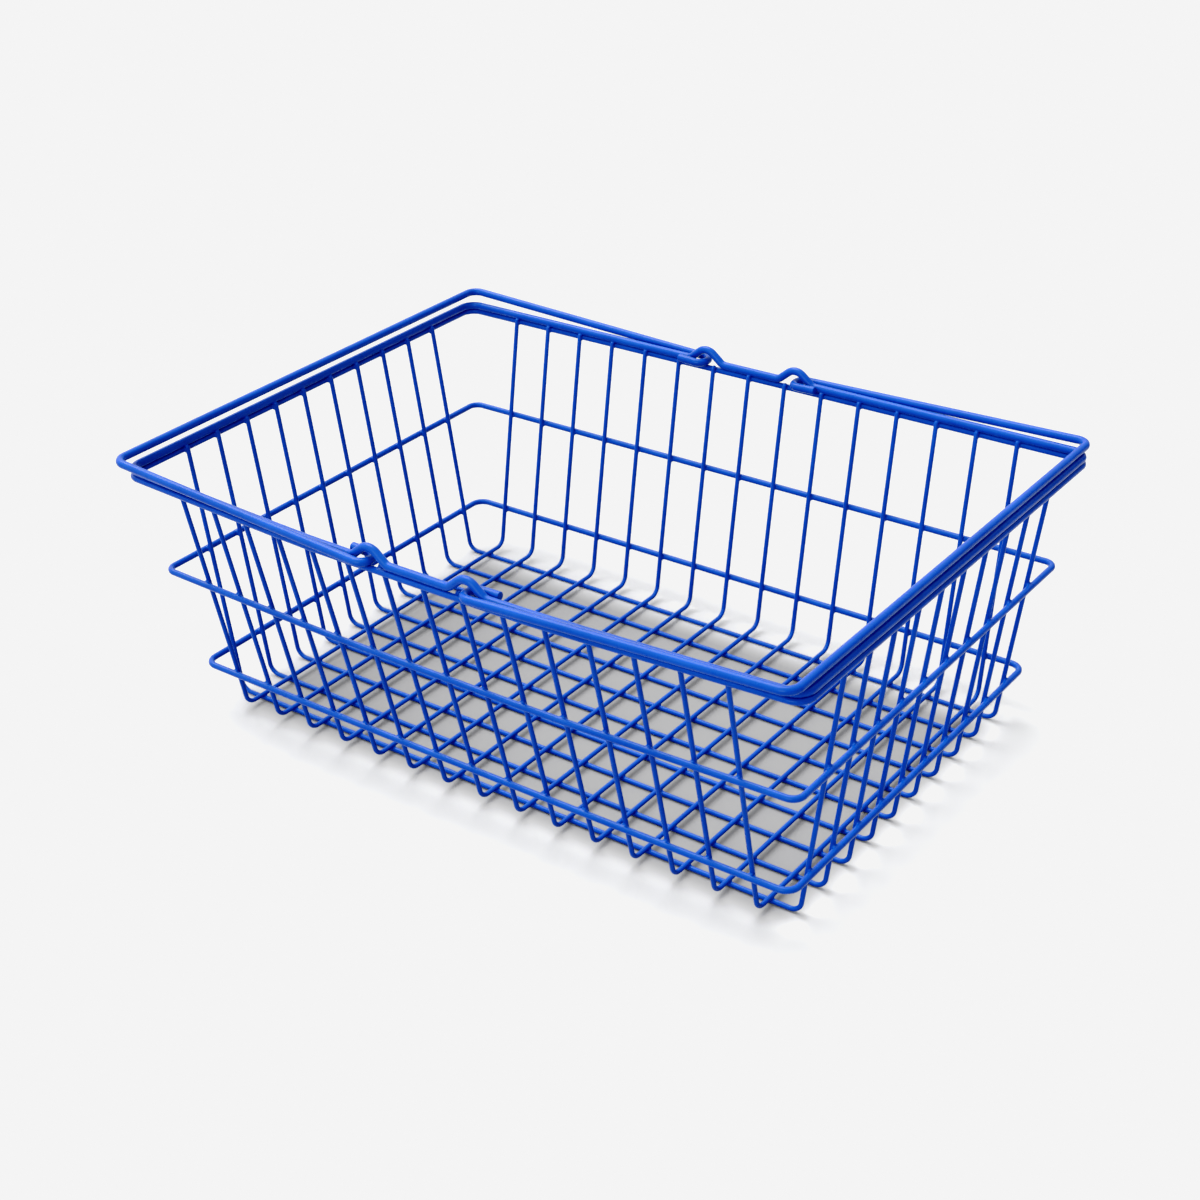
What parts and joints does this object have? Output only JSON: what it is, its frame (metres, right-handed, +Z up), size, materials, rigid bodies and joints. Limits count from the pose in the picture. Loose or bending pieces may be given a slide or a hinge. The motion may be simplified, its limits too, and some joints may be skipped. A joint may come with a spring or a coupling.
{
  "type": "wire shopping basket",
  "caption": "Open-topped rectangular wire basket with flared walls banded by stronger wire loops, and bail handles that fold out over the rim or meet over the middle.",
  "frame": {"origin": "on the ground under the middle of the floor grid, at the height of the undersides of the floor wires", "axes": "+X along the long sides towards the right handle's folded place, +Y along the short sides away from the bowed long side, +Z up out of the open top"},
  "size_m": [0.4522, 0.3361, 0.1741],
  "materials": {
    "rim_wire": "glossy blue powder coat on steel wire",
    "sub_rim_wire": "glossy blue powder coat on steel wire",
    "mid_band": "glossy blue powder coat on steel wire",
    "lower_band": "glossy blue powder coat on steel wire",
    "grid_wires": "glossy blue powder coat on thin steel wire",
    "handles": "glossy blue powder coat on steel wire"
  },
  "bodies": {
    "basket": {"rim_wire": "rim_wire", "sub_rim_wire": "sub_rim_wire", "mid_band": "mid_band", "lower_band": "lower_band", "cross_wire_01": "grid_wires", "cross_wire_02": "grid_wires", "cross_wire_03": "grid_wires", "cross_wire_04": "grid_wires", "cross_wire_05": "grid_wires", "cross_wire_06": "grid_wires", "cross_wire_07": "grid_wires", "cross_wire_08": "grid_wires", "cross_wire_09": "grid_wires", "cross_wire_10": "grid_wires", "cross_wire_11": "grid_wires", "cross_wire_12": "grid_wires", "cross_wire_13": "grid_wires", "cross_wire_14": "grid_wires", "cross_wire_15": "grid_wires", "long_wire_01": "grid_wires", "long_wire_02": "grid_wires", "long_wire_03": "grid_wires", "long_wire_04": "grid_wires", "long_wire_05": "grid_wires", "long_wire_06": "grid_wires", "long_wire_07": "grid_wires", "long_wire_08": "grid_wires", "long_wire_09": "grid_wires", "long_wire_10": "grid_wires"},
    "left_handle": {"left_handle": "handles"},
    "right_handle": {"right_handle": "handles"}
  },
  "joints": [
    {"name": "left_handle_fold", "type": "hinge", "parent": "basket", "child": "left_handle", "pos_m": [-0.0325, 0, 0.1633], "axis": [0, 1, 0], "range_deg": [0, 96]},
    {"name": "right_handle_fold", "type": "hinge", "parent": "basket", "child": "right_handle", "pos_m": [0.0325, 0, 0.1633], "axis": [0, -1, 0], "range_deg": [0, 97]}
  ]
}
